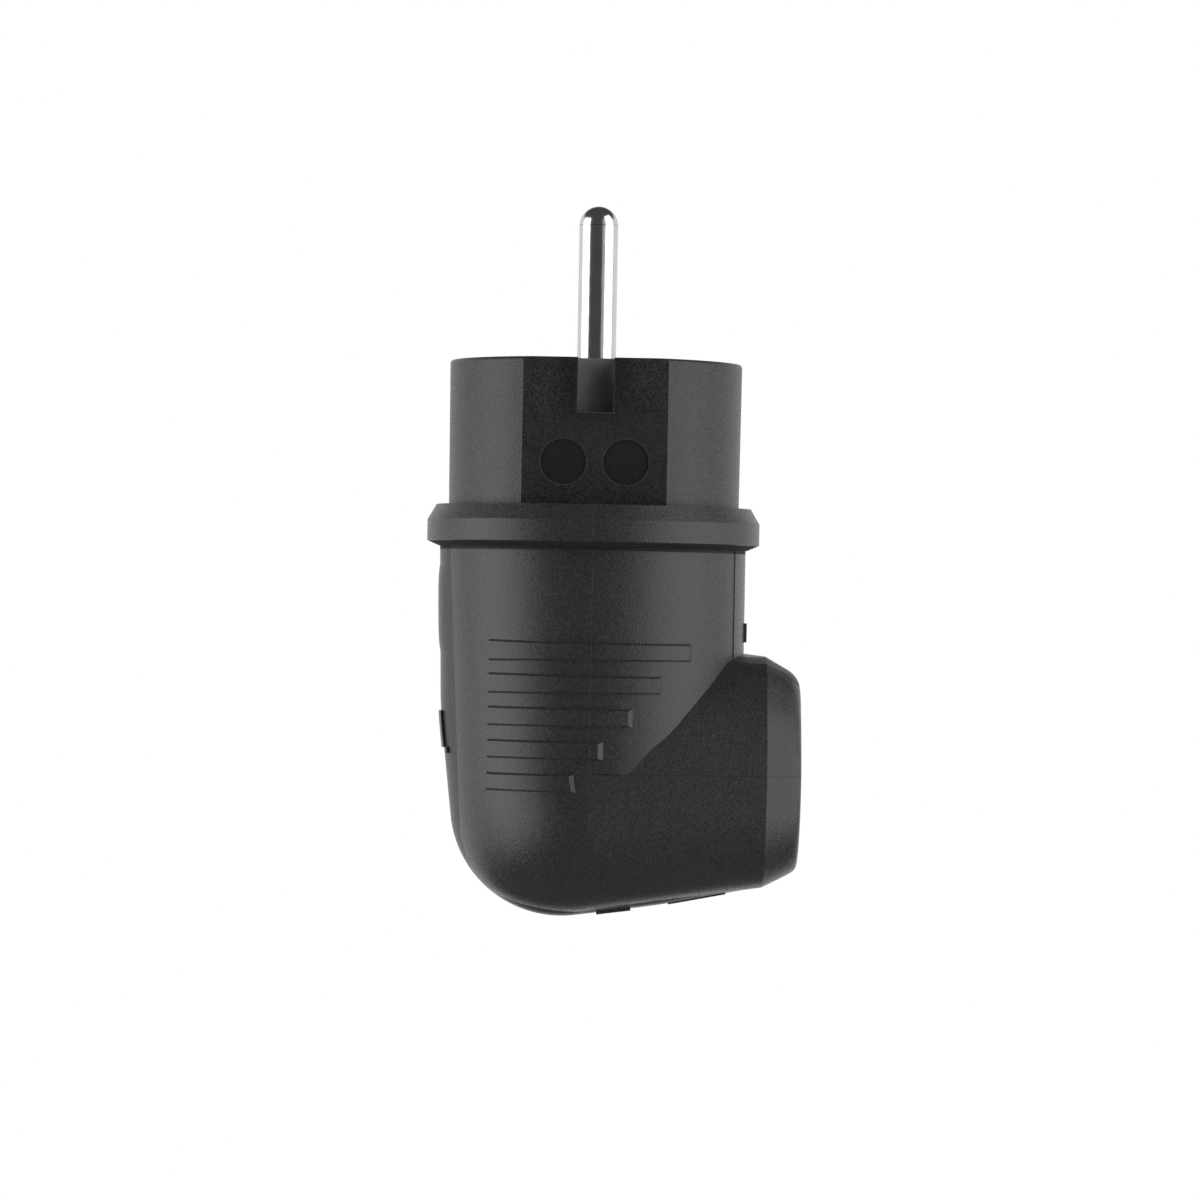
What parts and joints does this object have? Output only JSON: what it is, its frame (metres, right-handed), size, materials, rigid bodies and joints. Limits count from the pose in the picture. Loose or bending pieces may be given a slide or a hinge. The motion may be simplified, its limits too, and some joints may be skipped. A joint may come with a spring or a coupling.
{
  "type": "angled plug",
  "caption": "Black moulded angled mains plug: round front insert with contact pins, collar, elbow housing with grip bars, and a tapered oval cable outlet at right angles.",
  "frame": {"origin": "centre of the front face, midway between the two contact pins", "axes": "+Z out of the front face along the pins, +X towards the cable outlet, the pins stand on the Y axis"},
  "size_m": [0.0471, 0.0418, 0.0886],
  "materials": {
    "housing_rubber": "fine eroded grain, matt",
    "insert_plastic": "coarse eroded grain, matt",
    "nickel": "bright nickel plating on brass",
    "zinc_steel": "zinc plated",
    "plate_plastic": "matt",
    "seal_rubber": "soft, matt",
    "bush_brass": "turned"
  },
  "bodies": {
    "root": {"housing": "housing_rubber", "pin_carrier": "insert_plastic", "line_pin": "nickel", "neutral_pin": "nickel", "line_terminal_screw": "zinc_steel", "neutral_terminal_screw": "zinc_steel", "earth_strap": "nickel", "earth_sleeve": "nickel", "earth_washer": "zinc_steel", "earth_terminal_screw": "zinc_steel", "rear_plate": "plate_plastic", "plate_screw_a": "zinc_steel", "plate_screw_b": "zinc_steel", "center_screw": "zinc_steel", "thread_bush": "bush_brass", "sealing_ring": "seal_rubber", "clamp_bridge": "plate_plastic", "clamp_screw_a": "zinc_steel", "clamp_screw_b": "zinc_steel", "cable_seal": "seal_rubber"}
  },
  "joints": []
}
